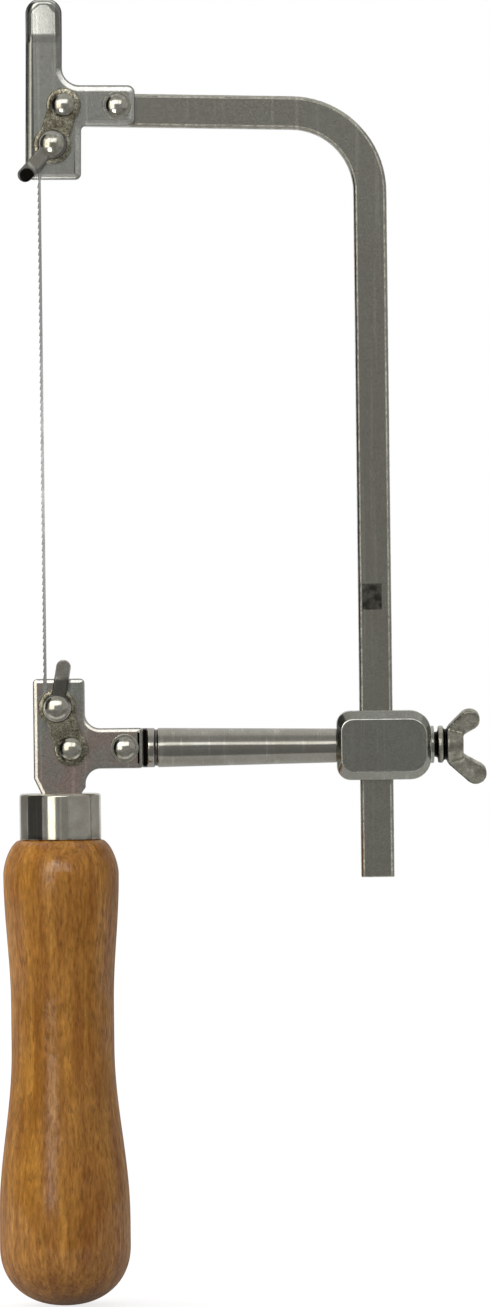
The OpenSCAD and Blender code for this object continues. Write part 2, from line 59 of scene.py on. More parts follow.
# Camera. A long lens looks straight along +Y at the middle of the saw. It's level, but rolled a little to
# the right, as the saw stands a little askew in its picture.
lens = 200.0
sensor_width = 36.0
picture_height = 0.3112
picture_middle = (0.04443, 0.09924)
picture_roll = math.radians(0.68)


def added(name, data):
    """A new object in the scene."""
    made = bpy.data.objects.new(name, data)
    bpy.context.scene.collection.objects.link(made)
    return made


camera_data = bpy.data.cameras.new("camera")
camera_data.sensor_width = sensor_width
camera_data.lens = lens
camera = added("camera", camera_data)
camera.location = (picture_middle[0], -picture_height * lens / sensor_width, picture_middle[1])
camera.rotation_euler = Euler((math.radians(90), picture_roll, 0))
bpy.context.scene.camera = camera
bpy.context.scene.view_settings.view_transform = "Standard"


# Studio. A pale floor meets the butt, and the room is white behind the saw and grey on the camera's side.
# A tall soft box stands in front to the left, a wide one hangs above and a small one lights the thumb tab.
# Dark cards at the sides and below keep the rest of what the metal mirrors dark.
room_white = 1.0
mirrored_white = 0.72
mirrored_front = 0.225
mirrored_above = 0.36
front_to_behind = (-0.50, 0.05)
front_to_above = (0.15, 0.50)
matt_from_left = 2.15
matt_from_right = 0.36
floor_size = 6.0
floor_gap = 0.0001
floor_white = 0.85
floor_glow = 0.60
floor_glow_seen = 1.30
floor_glow_mirrored = 0.45
low_flag_height = 0.005
saw_middle = (0.04, 0, 0.10)
felt_roughness = 0.9


def node_maker(tree):
    """A function that adds a node to the tree, sets its properties and links or fills its inputs."""
    def add(kind, inputs=None, **properties):
        made = tree.nodes.new(kind)
        for name, value in properties.items():
            setattr(made, name, value)
        for key, value in (inputs or {}).items():
            if isinstance(value, bpy.types.NodeSocket):
                tree.links.new(value, made.inputs[key])
            else:
                made.inputs[key].default_value = value
        return made
    return add


def maths(add, operation, *values):
    """The result of a sum, a product or the like."""
    return add("ShaderNodeMath", dict(enumerate(values)), operation=operation).outputs[0]


def mapped(add, value, low=0.0, high=1.0, least=0.0, most=1.0, ease="LINEAR"):
    """A value moved from the range low to high into the range least to most, and kept inside it."""
    return add("ShaderNodeMapRange", {"Value": value, "From Min": low, "From Max": high, "To Min": least,
                                      "To Max": most}, interpolation_type=ease).outputs[0]


def blank_material(name):
    """A new material without nodes, and the function that adds nodes to it."""
    made = bpy.data.materials.new(name)
    made.use_nodes = True
    made.node_tree.nodes.clear()
    return made, node_maker(made.node_tree)


def rectangle(name, width, height, z=0.0):
    """A flat mesh around the Z axis."""
    mesh = bpy.data.meshes.new(name)
    x, y = width / 2, height / 2
    mesh.from_pydata([(-x, -y, z), (x, -y, z), (x, y, z), (-x, y, z)], [], [(0, 1, 2, 3)])
    return mesh


def seen_by_camera(add):
    """1 for rays from the camera, and 0 for all others."""
    return add("ShaderNodeLightPath").outputs["Is Camera Ray"]


def seen_by_gloss(add):
    """1 for rays from the camera, a mirror or glass, and 0 for the light that falls on matt surfaces."""
    ray = add("ShaderNodeLightPath").outputs
    mirrored = maths(add, "MAXIMUM", ray["Is Camera Ray"], ray["Is Glossy Ray"])
    return maths(add, "MAXIMUM", mirrored, ray["Is Transmission Ray"])


world = bpy.data.worlds.new("room")
bpy.context.scene.world = world
world.use_nodes = True
world.node_tree.nodes.clear()
add = node_maker(world.node_tree)
towards = add("ShaderNodeSeparateXYZ", {0: add("ShaderNodeTexCoord").outputs["Generated"]}).outputs
front = mapped(add, towards["Z"], *front_to_above, mirrored_front, mirrored_above)
room = mapped(add, towards["Y"], *front_to_behind, front, mirrored_white, "SMOOTHSTEP")
matt = mapped(add, towards["X"], -1.0, 1.0, matt_from_left, matt_from_right)
level = mapped(add, seen_by_gloss(add), least=matt, most=1.0)
light = maths(add, "MULTIPLY", room, level)
light = mapped(add, seen_by_camera(add), least=light, most=room_white)
background = add("ShaderNodeBackground", {"Color": (1, 1, 1, 1), "Strength": light})
add("ShaderNodeOutputWorld", {"Surface": background.outputs[0]})

floor_z = cad_box[0].z - floor_gap
floor = added("floor", rectangle("floor", floor_size, floor_size, floor_z))
floor_paint, add = blank_material("pale floor")
matt = add("ShaderNodeBsdfDiffuse", {"Color": (floor_white, floor_white, floor_white, 1)})
level = maths(add, "MULTIPLY", seen_by_gloss(add), floor_glow_mirrored)
level = mapped(add, seen_by_camera(add), least=level, most=floor_glow_seen)
glow = add("ShaderNodeEmission", {"Color": (1, 1, 1, 1), "Strength": level})
lift = add("ShaderNodeMixShader", {0: floor_glow, 1: matt.outputs[0], 2: glow.outputs[0]})
behind = add("ShaderNodeNewGeometry").outputs["Backfacing"]
clear = add("ShaderNodeBsdfTransparent")
under = add("ShaderNodeMixShader", {0: behind, 1: lift.outputs[0], 2: clear.outputs[0]})
add("ShaderNodeOutputMaterial", {"Surface": under.outputs[0]})
floor.data.materials.append(floor_paint)


def aimed(name, data, axis, place, aim):
    """An object whose axis points at aim. The camera doesn't see it, so it can stand before the saw."""
    made = added(name, data)
    made.location = place
    made.rotation_euler = (Vector(aim) - Vector(place)).to_track_quat(axis, "Y").to_euler()
    made.visible_camera = False
    return made


def soft_box(name, place, aim, width, height, watts, tint=(1.0, 1.0, 1.0)):
    """A rectangular lamp."""
    lamp = bpy.data.lights.new(name, "AREA")
    lamp.shape = "RECTANGLE"
    lamp.size, lamp.size_y = width, height
    lamp.energy = watts
    lamp.color = tint
    aimed(name, lamp, "-Z", place, aim)


def flag(name, place, aim, width, height, shade):
    """A dark card that gives bright metal something to reflect beside the lamps."""
    card = aimed(name, rectangle(name, width, height), "Z", place, aim)
    card.visible_diffuse = False
    card.visible_shadow = False
    felt = bpy.data.materials.new(name)
    felt.use_nodes = True
    surface = felt.node_tree.nodes["Principled BSDF"].inputs
    surface["Base Color"].default_value = (shade, shade, shade, 1)
    surface["Roughness"].default_value = felt_roughness
    card.data.materials.append(felt)


soft_box("soft box left", place=(-0.49, -1.14, 0.22), aim=saw_middle, width=0.46, height=1.00, watts=2.3,
         tint=(1.0, 0.96, 0.87))
soft_box("soft box above", place=(0.04, -4.00, 1.62), aim=saw_middle, width=3.00, height=1.33, watts=17.6)
soft_box("soft card", place=(-0.0335, -0.165, 0.147), aim=(0, 0, 0.25), width=0.050, height=0.056,
         watts=0.022)
flag("flag left", place=(-1.10, -0.31, 0.15), aim=(0, -0.31, 0.15), width=1.18, height=3.4, shade=0.08)
flag("flag right", place=(1.10, -0.20, 0.15), aim=(0, -0.20, 0.15), width=4.0, height=2.2, shade=0.42)
flag("flag back left", place=(-1.10, 1.05, 0.15), aim=(0, 1.05, 0.15), width=1.5, height=2.2, shade=0.56)
flag("flag low", place=(0, -1.60, floor_z + low_flag_height), aim=(0, -1.60, 1.0), width=5.0, height=3.0,
     shade=0.25)


# Handle. One piece of beech, turned to a swollen belly, a waist and a rounded shoulder, and varnished. Its
# grain runs along it with short dark flecks, and the varnish shows a narrow streak of the soft box.
butt_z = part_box("handle")[0].z
wood_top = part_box("ferrule")[0].z
belly_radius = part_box("handle")[1].x
waist_radius = 0.01225
shoulder_radius = 0.01375
seat_radius = 0.00995
butt_height = 0.0144
belly_height = 0.006
waist_above_butt = 0.0614
waist_height = 0.010
shoulder_height = 0.008
butt_swell = 2.2
shoulder_swell = 1.6
round_segments = 128
weld = 2e-6
hold_distance = 0.00006
beech_dark = (167, 102, 27)
beech_light = (217, 151, 60)
beech_ruddy = (180, 118, 38)
beech_fleck = (104, 64, 24)


def made_by_modifiers(piece):
    """The mesh that a piece's modifiers make. The modifiers are taken off."""
    bpy.context.view_layer.update()
    mesh = bpy.data.meshes.new_from_object(piece.evaluated_get(bpy.context.evaluated_depsgraph_get()))
    piece.modifiers.clear()
    return mesh


def sockets(tree, in_out, kinds):
    """Adds sockets to a node tree, each with its name and kind."""
    for name, kind in kinds.items():
        tree.interface.new_socket(name, in_out=in_out, socket_type="NodeSocket" + kind)


def lathe_tree():
    """Node tree that spins the points of a profile about +Z and welds the skin where it meets itself."""
    tree = bpy.data.node_groups.new("lathe", "GeometryNodeTree")
    sockets(tree, "INPUT", {"Profile": "Geometry", "Segments": "Int", "Material": "Material"})
    sockets(tree, "OUTPUT", {"Geometry": "Geometry"})
    add = node_maker(tree)
    given = add("NodeGroupInput").outputs
    size = add("GeometryNodeAttributeDomainSize", {0: given["Profile"]}, component="MESH")
    count = size.outputs["Point Count"]
    columns = maths(add, "ADD", given["Segments"], 1.0)
    sheet = add("GeometryNodeMeshGrid", {"Vertices X": columns, "Vertices Y": count})
    index = add("GeometryNodeInputIndex").outputs[0]
    column = maths(add, "FLOOR", maths(add, "DIVIDE", index, count))
    row = maths(add, "MODULO", index, count)
    place = add("GeometryNodeInputPosition").outputs[0]
    point = add("GeometryNodeSampleIndex", {0: given["Profile"], "Value": place, "Index": row},
                data_type="FLOAT_VECTOR")
    turn = maths(add, "MULTIPLY", maths(add, "DIVIDE", column, given["Segments"]), 2 * math.pi)
    spun = add("ShaderNodeVectorRotate", {"Vector": point.outputs[0], "Angle": turn},
               rotation_type="Z_AXIS")
    skin = add("GeometryNodeSetPosition", {"Geometry": sheet.outputs["Mesh"], "Position": spun.outputs[0]})
    skin = add("GeometryNodeMergeByDistance", {"Geometry": skin.outputs[0], "Distance": weld})
    skin = add("GeometryNodeSetMaterial", {"Geometry": skin.outputs[0], "Material": given["Material"]})
    add("NodeGroupOutput", {0: skin.outputs[0]})
    return tree


def made_by_tree(name, points, tree, values):
    """The mesh that a node tree makes of points. The values go to its other inputs, by their names."""
    cloud = bpy.data.meshes.new(name)
    cloud.from_pydata(points, [], [])
    rough = added(name + " points", cloud)
    modifier = rough.modifiers.new(tree.name, "NODES")
    modifier.node_group = tree
    for socket in tree.interface.items_tree:
        if socket.name in values:
            modifier[socket.identifier] = values[socket.name]
    mesh = made_by_modifiers(rough)
    bpy.data.objects.remove(rough)
    mesh.name = name
    return mesh


def held(profile):
    """The profile with a point near both ends of each straight run, so that the run shades straight."""
    points = [profile[0]]
    for (r0, z0), (r1, z1) in zip(profile, profile[1:]):
        run = math.hypot(r1 - r0, z1 - z0)
        if run > 4 * hold_distance:
            part = hold_distance / run
            points += [(r0 + (r1 - r0) * along, z0 + (z1 - z0) * along) for along in (part, 1 - part)]
        points.append((r1, z1))
    return points


lathe = lathe_tree()


def turned(name, profile, segments, material, towards_front=False):
    """A closed piece, spun from a profile of (radius, height) points. Its heights run up, or towards the
    viewer with towards_front."""
    mesh = made_by_tree(name, [(r, 0, z) for r, z in held(profile)], lathe,
                        {"Segments": segments, "Material": material})
    bm = bmesh.new()
    bm.from_mesh(mesh)
    if towards_front:
        for v in bm.verts:
            v.co = (v.co.x, -v.co.z, v.co.y)
    bmesh.ops.recalc_face_normals(bm, faces=bm.faces)
    bm.to_mesh(mesh)
    bm.free()
    mesh.shade_smooth()
    return added(name, mesh)


def superellipse(r0, r1, z, height, swell, steps, start=0, end=1):
    """Points of a rounded end between the radii r0 and r1, from the angle start to end in quarter turns."""
    points = []
    for i in range(steps + 1):
        a = math.pi / 2 * (start + (end - start) * i / steps)
        across, up = (max(part, 0) ** (2 / swell) for part in (math.cos(a), math.sin(a)))
        points.append((r0 + (r1 - r0) * across, z + height * up))
    return points


def eased_run(r0, r1, z0, z1, steps):
    """Points of a smooth change of radius between two heights."""
    return [(r0 + (r1 - r0) * (1 - math.cos(math.pi * i / steps)) / 2, z0 + (z1 - z0) * i / steps)
            for i in range(steps + 1)]


def colour(rgb):
    """The linear colour of a colour read off a screen, with its parts from 0 to 255."""
    return tuple(((c / 255 + 0.055) / 1.055) ** 2.4 if c > 10 else c / 255 / 12.92 for c in rgb) + (1.0,)


def noise(add, scale, detail=2.0, roughness=0.5, stretch=(1, 1, 1), turn=(0, 0, 0)):
    """Noise on the object's own coordinates, which are scaled by stretch and turned first."""
    own = add("ShaderNodeTexCoord").outputs["Object"]
    laid = add("ShaderNodeMapping", {"Vector": own, "Rotation": turn, "Scale": stretch})
    return add("ShaderNodeTexNoise", {"Vector": laid.outputs[0], "Scale": scale, "Detail": detail,
                                      "Roughness": roughness}).outputs["Fac"]


def mixed(add, share, first, second, blend="MIX"):
    """One colour out of two, with a share of the second."""
    return add("ShaderNodeMix", {"Factor": share, "A": first, "B": second}, data_type="RGBA",
               blend_type=blend).outputs["Result"]


def varnished_beech():
    """Beech under clear varnish: long soft bands, ruddy zones, fine fibres, short dark flecks, and a coat
    whose gloss is broken by the fibres and weaker towards the sides."""
    made, add = blank_material("varnished beech")
    band = noise(add, scale=330.0, detail=3.0, roughness=0.6, stretch=(1, 1, 0.05))
    hue = noise(add, scale=420.0, stretch=(1, 1, 0.24))
    fibre = noise(add, scale=1500.0, detail=3.0, roughness=0.65, stretch=(1, 1, 0.24))
    fleck = noise(add, scale=1500.0, roughness=0.6, stretch=(1, 1, 0.18))
    fleck = mapped(add, fleck, low=0.58, high=0.70, most=0.50)
    base = mixed(add, mapped(add, band, low=0.36, high=0.64), colour(beech_dark), colour(beech_light))
    base = mixed(add, mapped(add, hue, low=0.40, high=0.66, most=0.7), base, colour(beech_ruddy))
    base = mixed(add, 1.0, base, mapped(add, fibre, low=0.28, high=0.72, least=0.66, most=1.32), "MULTIPLY")
    cloud = mapped(add, noise(add, scale=70.0), low=0.3, high=0.7, least=0.90, most=1.10)
    base = mixed(add, 1.0, base, cloud, "MULTIPLY")
    base = mixed(add, fleck, base, colour(beech_fleck))
    side = add("ShaderNodeLayerWeight", {"Blend": 0.5}).outputs["Facing"]
    coat = maths(add, "MULTIPLY", mapped(add, side, low=0.40, high=0.85, least=1.0, most=0.06),
                 mapped(add, fibre, low=0.36, high=0.58, least=0.35))
    dents = add("ShaderNodeBump", {"Height": fleck, "Strength": 0.25, "Distance": 0.00005}, invert=True)
    pores = add("ShaderNodeBump", {"Height": fibre, "Strength": 1.0, "Distance": 0.00006})
    shader = add("ShaderNodeBsdfPrincipled", {"Base Color": base, "Roughness": 0.45,
                                              "Specular IOR Level": 0.15, "Coat Weight": coat,
                                              "Coat Roughness": 0.10, "Coat IOR": 1.6,
                                              "Coat Normal": pores.outputs[0], "Normal": dents.outputs[0]})
    add("ShaderNodeOutputMaterial", {"Surface": shader.outputs[0]})
    return made


belly_z = butt_z + butt_height
waist_z = butt_z + waist_above_butt
curve_z = wood_top - shoulder_height
handle_profile = (
    superellipse(0, belly_radius, belly_z, -butt_height, butt_swell, steps=28, start=1, end=0)
    + eased_run(belly_radius, waist_radius, belly_z + belly_height, waist_z, steps=40)
    + eased_run(waist_radius, shoulder_radius, waist_z + waist_height, curve_z, steps=30)
    + superellipse(seat_radius, shoulder_radius, curve_z, shoulder_height, shoulder_swell, steps=20)
    + [(0, wood_top)])
handle = turned("turned_handle", handle_profile, round_segments, varnished_beech())
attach(handle, "holder")
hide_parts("handle")


# Ferrule. A drawn cap of bright nickel-plated brass over the handle's neck, with a rounded rim and a brown
# line where it meets the wood. It's the brightest metal on the saw and mirrors the room from left to right.
ferrule_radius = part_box("ferrule")[1].x
ferrule_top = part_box("ferrule")[1].z
ferrule_wall = 0.0008
ferrule_rim = 0.0007
ferrule_chamfer = (0.0002, 0.0003)
ferrule_stain = 0.0016
ferrule_stain_share = 0.75
scratch_stretch = (1, 0.3, 0.018)
scratch_layers = ((0.35, 900.0), (1.25, 700.0), (2.3, 1100.0))
dirt_and_shade_brown = (26, 25, 22)


def combined(add, masks, operation="MAXIMUM"):
    """One mask out of several."""
    total = masks[0]
    for mask in masks[1:]:
        total = maths(add, operation, total, mask)
    return total


def part_of(add, mask, share):
    """A weaker mask."""
    return maths(add, "MULTIPLY", mask, share)


def slab(add, axis, low, high, soft=0.00012):
    """Mask of the space between two places on one axis."""
    split = add("ShaderNodeSeparateXYZ", {0: add("ShaderNodeTexCoord").outputs["Object"]})
    off = maths(add, "ABSOLUTE", maths(add, "SUBTRACT", split.outputs[axis], (low + high) / 2))
    half = (high - low) / 2
    return mapped(add, off, low=half, high=half + soft, least=1.0, most=0.0)


def patches(add, scale, low, high, least=0.0):
    """Mask that breaks up the one it's multiplied with."""
    return mapped(add, noise(add, scale=scale), low, high, least)


def plate_group():
    """Node group of worn plate: cloudy tone, speckle, thin scratches, rubbed edges, which a much lighter
    edge colour also makes a painted highlight, and a mask that darkens for dirt and for painted shade.
    """
    tree = bpy.data.node_groups.new("worn plate", "ShaderNodeTree")
    sockets(tree, "INPUT", {"Plate": "Color", "Tarnish": "Color", "Edge": "Color", "Cloud Scale": "Float",
                            "Speckle": "Float", "Scratches": "Float", "Gloss": "Float",
                            "Gloss Change": "Float", "Edge Dullness": "Float", "Grime": "Float"})
    sockets(tree, "OUTPUT", {"Colour": "Color", "Roughness": "Float", "Height": "Float"})
    add = node_maker(tree)
    given = add("NodeGroupInput").outputs
    cloud = noise(add, scale=given["Cloud Scale"], detail=5.0, roughness=0.62)
    cloud = mapped(add, cloud, low=0.36, high=0.64)
    tone = mixed(add, cloud, given["Tarnish"], given["Plate"])
    grit = noise(add, scale=2600.0, roughness=0.7)
    grit = mapped(add, grit, low=0.30, high=0.70, least=-0.5, most=0.5)
    grit = maths(add, "MULTIPLY", grit, given["Speckle"])
    lines = [noise(add, scale=scale, detail=1.0, stretch=scratch_stretch, turn=(0, turn, 0))
             for turn, scale in scratch_layers]
    scratch = combined(add, [mapped(add, line, low=0.66, high=0.74) for line in lines])
    scratch = maths(add, "MULTIPLY", scratch, given["Scratches"])
    eased_edge = add("ShaderNodeAttribute", attribute_name="eased").outputs["Fac"]
    edge_rub_and_highlight = mapped(add, noise(add, scale=700.0, detail=3.0), low=0.35, high=0.55, least=0.35)
    tone = mixed(add, maths(add, "MULTIPLY", edge_rub_and_highlight, eased_edge), tone, given["Edge"])
    lift = maths(add, "ADD", maths(add, "ADD", grit, scratch), 1.0)
    tone = mixed(add, 1.0, tone, lift, "MULTIPLY")
    tone = mixed(add, given["Grime"], tone, colour(dirt_and_shade_brown))
    bare = maths(add, "SUBTRACT", 1.0, cloud)
    dull = maths(add, "MULTIPLY_ADD", bare, given["Gloss Change"], given["Gloss"])
    dull = maths(add, "MULTIPLY_ADD", eased_edge, given["Edge Dullness"], dull)
    height = maths(add, "MULTIPLY_ADD", scratch, -1.0, grit)
    add("NodeGroupOutput", {"Colour": tone, "Roughness": dull, "Height": height})
    return tree


worn_plate = plate_group()


def plated(name, plate, tarnish, edge, gloss, gloss_change=0.12, speckle=0.25, scratches=0.25,
           cloud_scale=120.0, relief=0.00002, edge_dullness=0.0, dirt_and_shade=None):
    """A plated or bare metal, made with the worn plate group. Gloss is its roughness, and the last argument
    is a function that makes the mask which darkens it, for dirt and for painted shade."""
    made, add = blank_material(name)
    worn = add("ShaderNodeGroup", {"Plate": colour(plate), "Tarnish": colour(tarnish), "Edge": colour(edge),
                                   "Cloud Scale": cloud_scale, "Speckle": speckle, "Scratches": scratches,
                                   "Gloss": gloss, "Gloss Change": gloss_change,
                                   "Edge Dullness": edge_dullness, "Grime": dirt_and_shade(add) if dirt_and_shade else 0.0},
               node_tree=worn_plate)
    bump = add("ShaderNodeBump", {"Height": worn.outputs["Height"], "Strength": 0.5, "Distance": relief})
    shader = add("ShaderNodeBsdfPrincipled", {"Base Color": worn.outputs["Colour"], "Metallic": 1.0,
                                              "Roughness": worn.outputs["Roughness"],
                                              "Normal": bump.outputs[0]})
    add("ShaderNodeOutputMaterial", {"Surface": shader.outputs[0]})
    return made


def foot_stain(add):
    """Mask of a broken brown line where the ferrule meets the wood."""
    line = slab(add, "Z", wood_top - ferrule_stain, wood_top, ferrule_stain)
    line = combined(add, [line, patches(add, scale=520.0, low=0.38, high=0.62)], "MULTIPLY")
    return part_of(add, line, ferrule_stain_share)


bright_nickel = plated("bright nickel", plate=(230, 226, 212), tarnish=(204, 197, 182),
                       edge=(240, 236, 226), gloss=0.10, gloss_change=0.06, speckle=0.16, cloud_scale=160.0,
                       relief=0.000006, dirt_and_shade=foot_stain)
inner_radius = ferrule_radius - ferrule_wall
flat_radius = ferrule_radius - ferrule_rim
ferrule_profile = (
    [(inner_radius, wood_top), (ferrule_radius - ferrule_chamfer[0], wood_top),
     (ferrule_radius, wood_top + ferrule_chamfer[1])]
    + superellipse(flat_radius, ferrule_radius, ferrule_top - ferrule_rim, ferrule_rim, swell=2, steps=10)
    + [(0, ferrule_top), (0, ferrule_top - ferrule_wall), (inner_radius, ferrule_top - ferrule_wall),
       (inner_radius, wood_top)])
ferrule = turned("plated_ferrule", ferrule_profile, round_segments, bright_nickel)
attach(ferrule, "holder")
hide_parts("ferrule")


# Brackets. Two stampings of nickel-plated steel, tumbled so that their edges are round. The lower one ends
# in a tang in the handle, and the upper one carries a thumb tab whose tip is bent forward.
plate_front = -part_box("lower_bracket")[0].y
lower_bracket_edge = 0.0011
upper_bracket_edge = 0.0016
lower_bracket_slope = 0.20
upper_bracket_slope = 0.10
slope_brink = 0.19
bracket_bend = 0.0012
thumb_bend_height = 0.2395
thumb_left = (-0.0054, -0.0044)
thumb_right = (0.0012, 0.0030)
thumb_reach = (0.2390, 0.2600)
thumb_soft = 0.0002
thumb_reach_soft = 0.0010
thumb_left_share = 0.55
thumb_right_share = 0.42
bracket_bodies = {"lower": "holder", "upper": "frame"}
rivet_hole = {"lower": 0.0018, "upper": 0.0020}
clamp_hole = 0.0024
flat_angle = math.radians(0.5)
least_fold = math.radians(4)
fold_segments = 6
large_face = 5e-6
same_way = 0.9999
rounding_reach = 1.01
shading_margin = 5


def middle(node):
    """Where the middle of a CAD part is, seen from the front, as x and z."""
    low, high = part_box(node)
    return (low.x + high.x) / 2, (low.z + high.z) / 2


guide_spots = {level: middle(level + "_guide_rivet") for level in bracket_bodies}
rivet_spots = {level: middle(level + "_rivet_washer") for level in bracket_bodies}
clamp_spots = {level: middle(level + "_clamp_nut") for level in bracket_bodies}


def close_holes(bm, holes):
    """Closes the cross holes of a plate, each given as its x, z and radius."""
    def at_hole(point):
        return any(math.hypot(point.x - x, point.z - z) < r for x, z, r in holes)

    def is_wall(face):
        return all(at_hole(v.co) for v in face.verts)

    walls = {f for f in bm.faces if is_wall(f)}
    for side in (-1, 1):
        flat = {f for f in bm.faces if side * f.normal.y > same_way and side * f.calc_center_median().y > 0
                and any(e.verts[0].co.y == e.verts[1].co.y and at_hole(e.verts[0].co) for e in f.edges)}
        while grown := {g for f in flat for e in f.edges for g in e.link_faces
                        if g not in flat and g.normal.dot(f.normal) > same_way}:
            flat |= grown
        outline = [e for e in bm.edges if not any(g in walls for g in e.link_faces)
                   and sum(g in flat for g in e.link_faces) == 1]
        if outline:
            bmesh.ops.delete(bm, geom=[f for f in bm.faces if f in flat], context="FACES")
            bmesh.ops.edgeloop_fill(bm, edges=outline)
    bmesh.ops.delete(bm, geom=[f for f in bm.faces if is_wall(f)], context="FACES")


def round_bends(bm, bend, sharp):
    """Rounds the folds between large faces, which are the bends of a sheet."""
    folds = [e for e in bm.edges if least_fold < abs(e.calc_face_angle(0)) < math.radians(sharp)
             and min(f.calc_area() for f in e.link_faces) > large_face]
    bmesh.ops.bevel(bm, geom=folds, offset=bend, offset_type="OFFSET", segments=fold_segments, profile=0.5,
                    affect="EDGES", clamp_overlap=False)


def flatten(v, width, slope):
    """Moves a point of a plate's rounding to a shallow bevel with a soft brink."""
    depth = plate_front - abs(v.co.y)
    if abs(depth) < weld:
        v.co.y = math.copysign(plate_front, v.co.y)
    elif 0 < depth < width * rounding_reach:
        inwards = width * (1 - math.sin(math.acos(max(1 - depth / width, 0))))
        brink = max(1 - inwards / (slope_brink * width), 0)
        shallow = slope * (width - inwards) + slope_brink * width * (1 - math.sqrt(1 - brink ** 2))
        v.co.y = math.copysign(plate_front - shallow, v.co.y)


def eased(node, name, width, material, segments=4, holes=(), sharp=40, bend=0.0, slope=0.0,
          slope_top=math.inf):
    """A copy of a CAD part whose edges of more than sharp degrees are rounded, and marked by the attribute
    "eased" for rubbed edges, which on some materials also carry a painted highlight. Its holes are closed,
    as rivets and screws fill them, and its bends are rounded by their own width first. Up to the height
    slope_top, a slope flattens the rounding to a shallow bevel."""
    bm = bmesh.new()
    bm.from_mesh(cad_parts[node].data)
    bmesh.ops.remove_doubles(bm, verts=bm.verts, dist=weld)
    bmesh.ops.dissolve_limit(bm, angle_limit=flat_angle, verts=bm.verts, edges=bm.edges)
    close_holes(bm, holes)
    bmesh.ops.recalc_face_normals(bm, faces=bm.faces)
    if bend:
        round_bends(bm, bend, sharp)
    outer = [e for e in bm.edges if e.is_manifold and abs(e.calc_face_angle(0)) > math.radians(sharp)]
    mark = bm.verts.layers.float.new("eased")
    made = bmesh.ops.bevel(bm, geom=outer, offset=width, offset_type="OFFSET", segments=segments,
                           profile=0.5, affect="EDGES", clamp_overlap=False, face_strength_mode="ALL")
    rounding = set(made["faces"])
    for v in {v for face in rounding for v in face.verts}:
        v[mark] = float(rounding.issuperset(v.link_faces))
        if slope and v.co.z < slope_top:
            flatten(v, width, slope)
    bmesh.ops.remove_doubles(bm, verts=bm.verts, dist=weld)
    bmesh.ops.triangulate(bm, faces=[f for f in bm.faces if len(f.verts) > 4])
    for edge in bm.edges:
        edge.smooth = edge.calc_face_angle(0) < math.radians(sharp - shading_margin)
    mesh = bpy.data.meshes.new(name)
    bm.to_mesh(mesh)
    bm.free()
    mesh.materials.append(material)
    for face in mesh.polygons:
        face.use_smooth = True
    piece = added(name, mesh)
    weigh = piece.modifiers.new("flat faces stay flat", "WEIGHTED_NORMAL")
    weigh.keep_sharp = True
    weigh.use_face_influence = True
    weigh.weight = 100
    return piece


def thumb_edge_painted_shade(add):
    """Mask of painted shade along the long edges of the thumb tab, which darkens the highlight on the left
    edge and the reflection on the right one.
    """
    left = slab(add, "X", *thumb_left, thumb_soft)
    right = slab(add, "X", *thumb_right, thumb_soft)
    right = combined(add, [right, slab(add, "Z", *thumb_reach, thumb_reach_soft)], "MULTIPLY")
    return combined(add, [part_of(add, left, thumb_left_share), part_of(add, right, thumb_right_share)])


def bracket_holes(level):
    """The three cross holes of a bracket."""
    return [(*guide_spots[level], rivet_hole[level]), (*rivet_spots[level], rivet_hole[level]),
            (*clamp_spots[level], clamp_hole)]


satin_nickel = plated("satin nickel", plate=(212, 213, 204), tarnish=(202, 202, 193), edge=(226, 225, 218),
                      gloss=0.16, gloss_change=0.01, speckle=0.28, scratches=0.15, cloud_scale=70.0,
                      edge_dullness=0.05, dirt_and_shade=thumb_edge_painted_shade)
tarnished_nickel = plated("tarnished nickel", plate=(190, 194, 183), tarnish=(198, 178, 168),
                          edge=(206, 203, 194), gloss=0.17, gloss_change=0.02, speckle=0.45,
                          cloud_scale=95.0)
lower_bracket = eased("lower_bracket", "stamped_lower_bracket", lower_bracket_edge, tarnished_nickel,
                      segments=5, holes=bracket_holes("lower"), slope=lower_bracket_slope)
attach(lower_bracket, "holder")
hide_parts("lower_bracket")

upper_bracket = eased("upper_bracket", "stamped_upper_bracket", upper_bracket_edge, satin_nickel,
                      segments=5, holes=bracket_holes("upper"), bend=bracket_bend,
                      slope=upper_bracket_slope, slope_top=thumb_bend_height)
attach(upper_bracket, "frame")
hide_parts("upper_bracket")


# Lower arm. A round steel arm, turned with a collar and a groove, half cut away where it laps the bracket,
# and plated. Its spigot is fixed in the slider block.
arm_edge = 0.00025
lap_slit = (0.0199, 0.0208)
arm_groove = (0.0226, 0.0234)
arm_groove_share = 0.7


def arm_painted_shade(add):
    """Mask of painted shade in the slit beside the bracket and of weaker painted shade in the groove."""
    groove = part_of(add, slab(add, "X", *arm_groove), arm_groove_share)
    return combined(add, [slab(add, "X", *lap_slit), groove])


arm_nickel = plated("arm nickel", plate=(184, 182, 172), tarnish=(170, 167, 155), edge=(205, 202, 192),
                    gloss=0.15, gloss_change=0.05, speckle=0.15, scratches=0.20, dirt_and_shade=arm_painted_shade)
arm = eased("lower_arm", "turned_lower_arm", arm_edge, arm_nickel, segments=3)
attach(arm, "holder")
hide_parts("lower_arm")


# Slider block and frame bar. The block is milled steel with bevelled faces and a slot. The bar that slides
# in it is flat plated steel, bent once and darkened by handling, with fine scratches. The edges of both are
# lighter, partly rubbed plating and partly a painted highlight.
block_edge = 0.00022
bar_edge = 0.00025
stamp_x = (0.0726, 0.0771)
stamp_y = (-0.0002, 0.0016)
stamp_z = (0.1094, 0.1155)
stamp_share = 0.85


def stamp_grime(add):
    """Mask of the plain etched patch on the bar's front, partly worn off."""
    sides = [slab(add, axis, *span) for axis, span in (("X", stamp_x), ("Z", stamp_z), ("Y", stamp_y))]
    stamp = combined(add, sides + [patches(add, scale=620.0, low=0.35, high=0.65, least=0.55)], "MULTIPLY")
    return part_of(add, stamp, stamp_share)
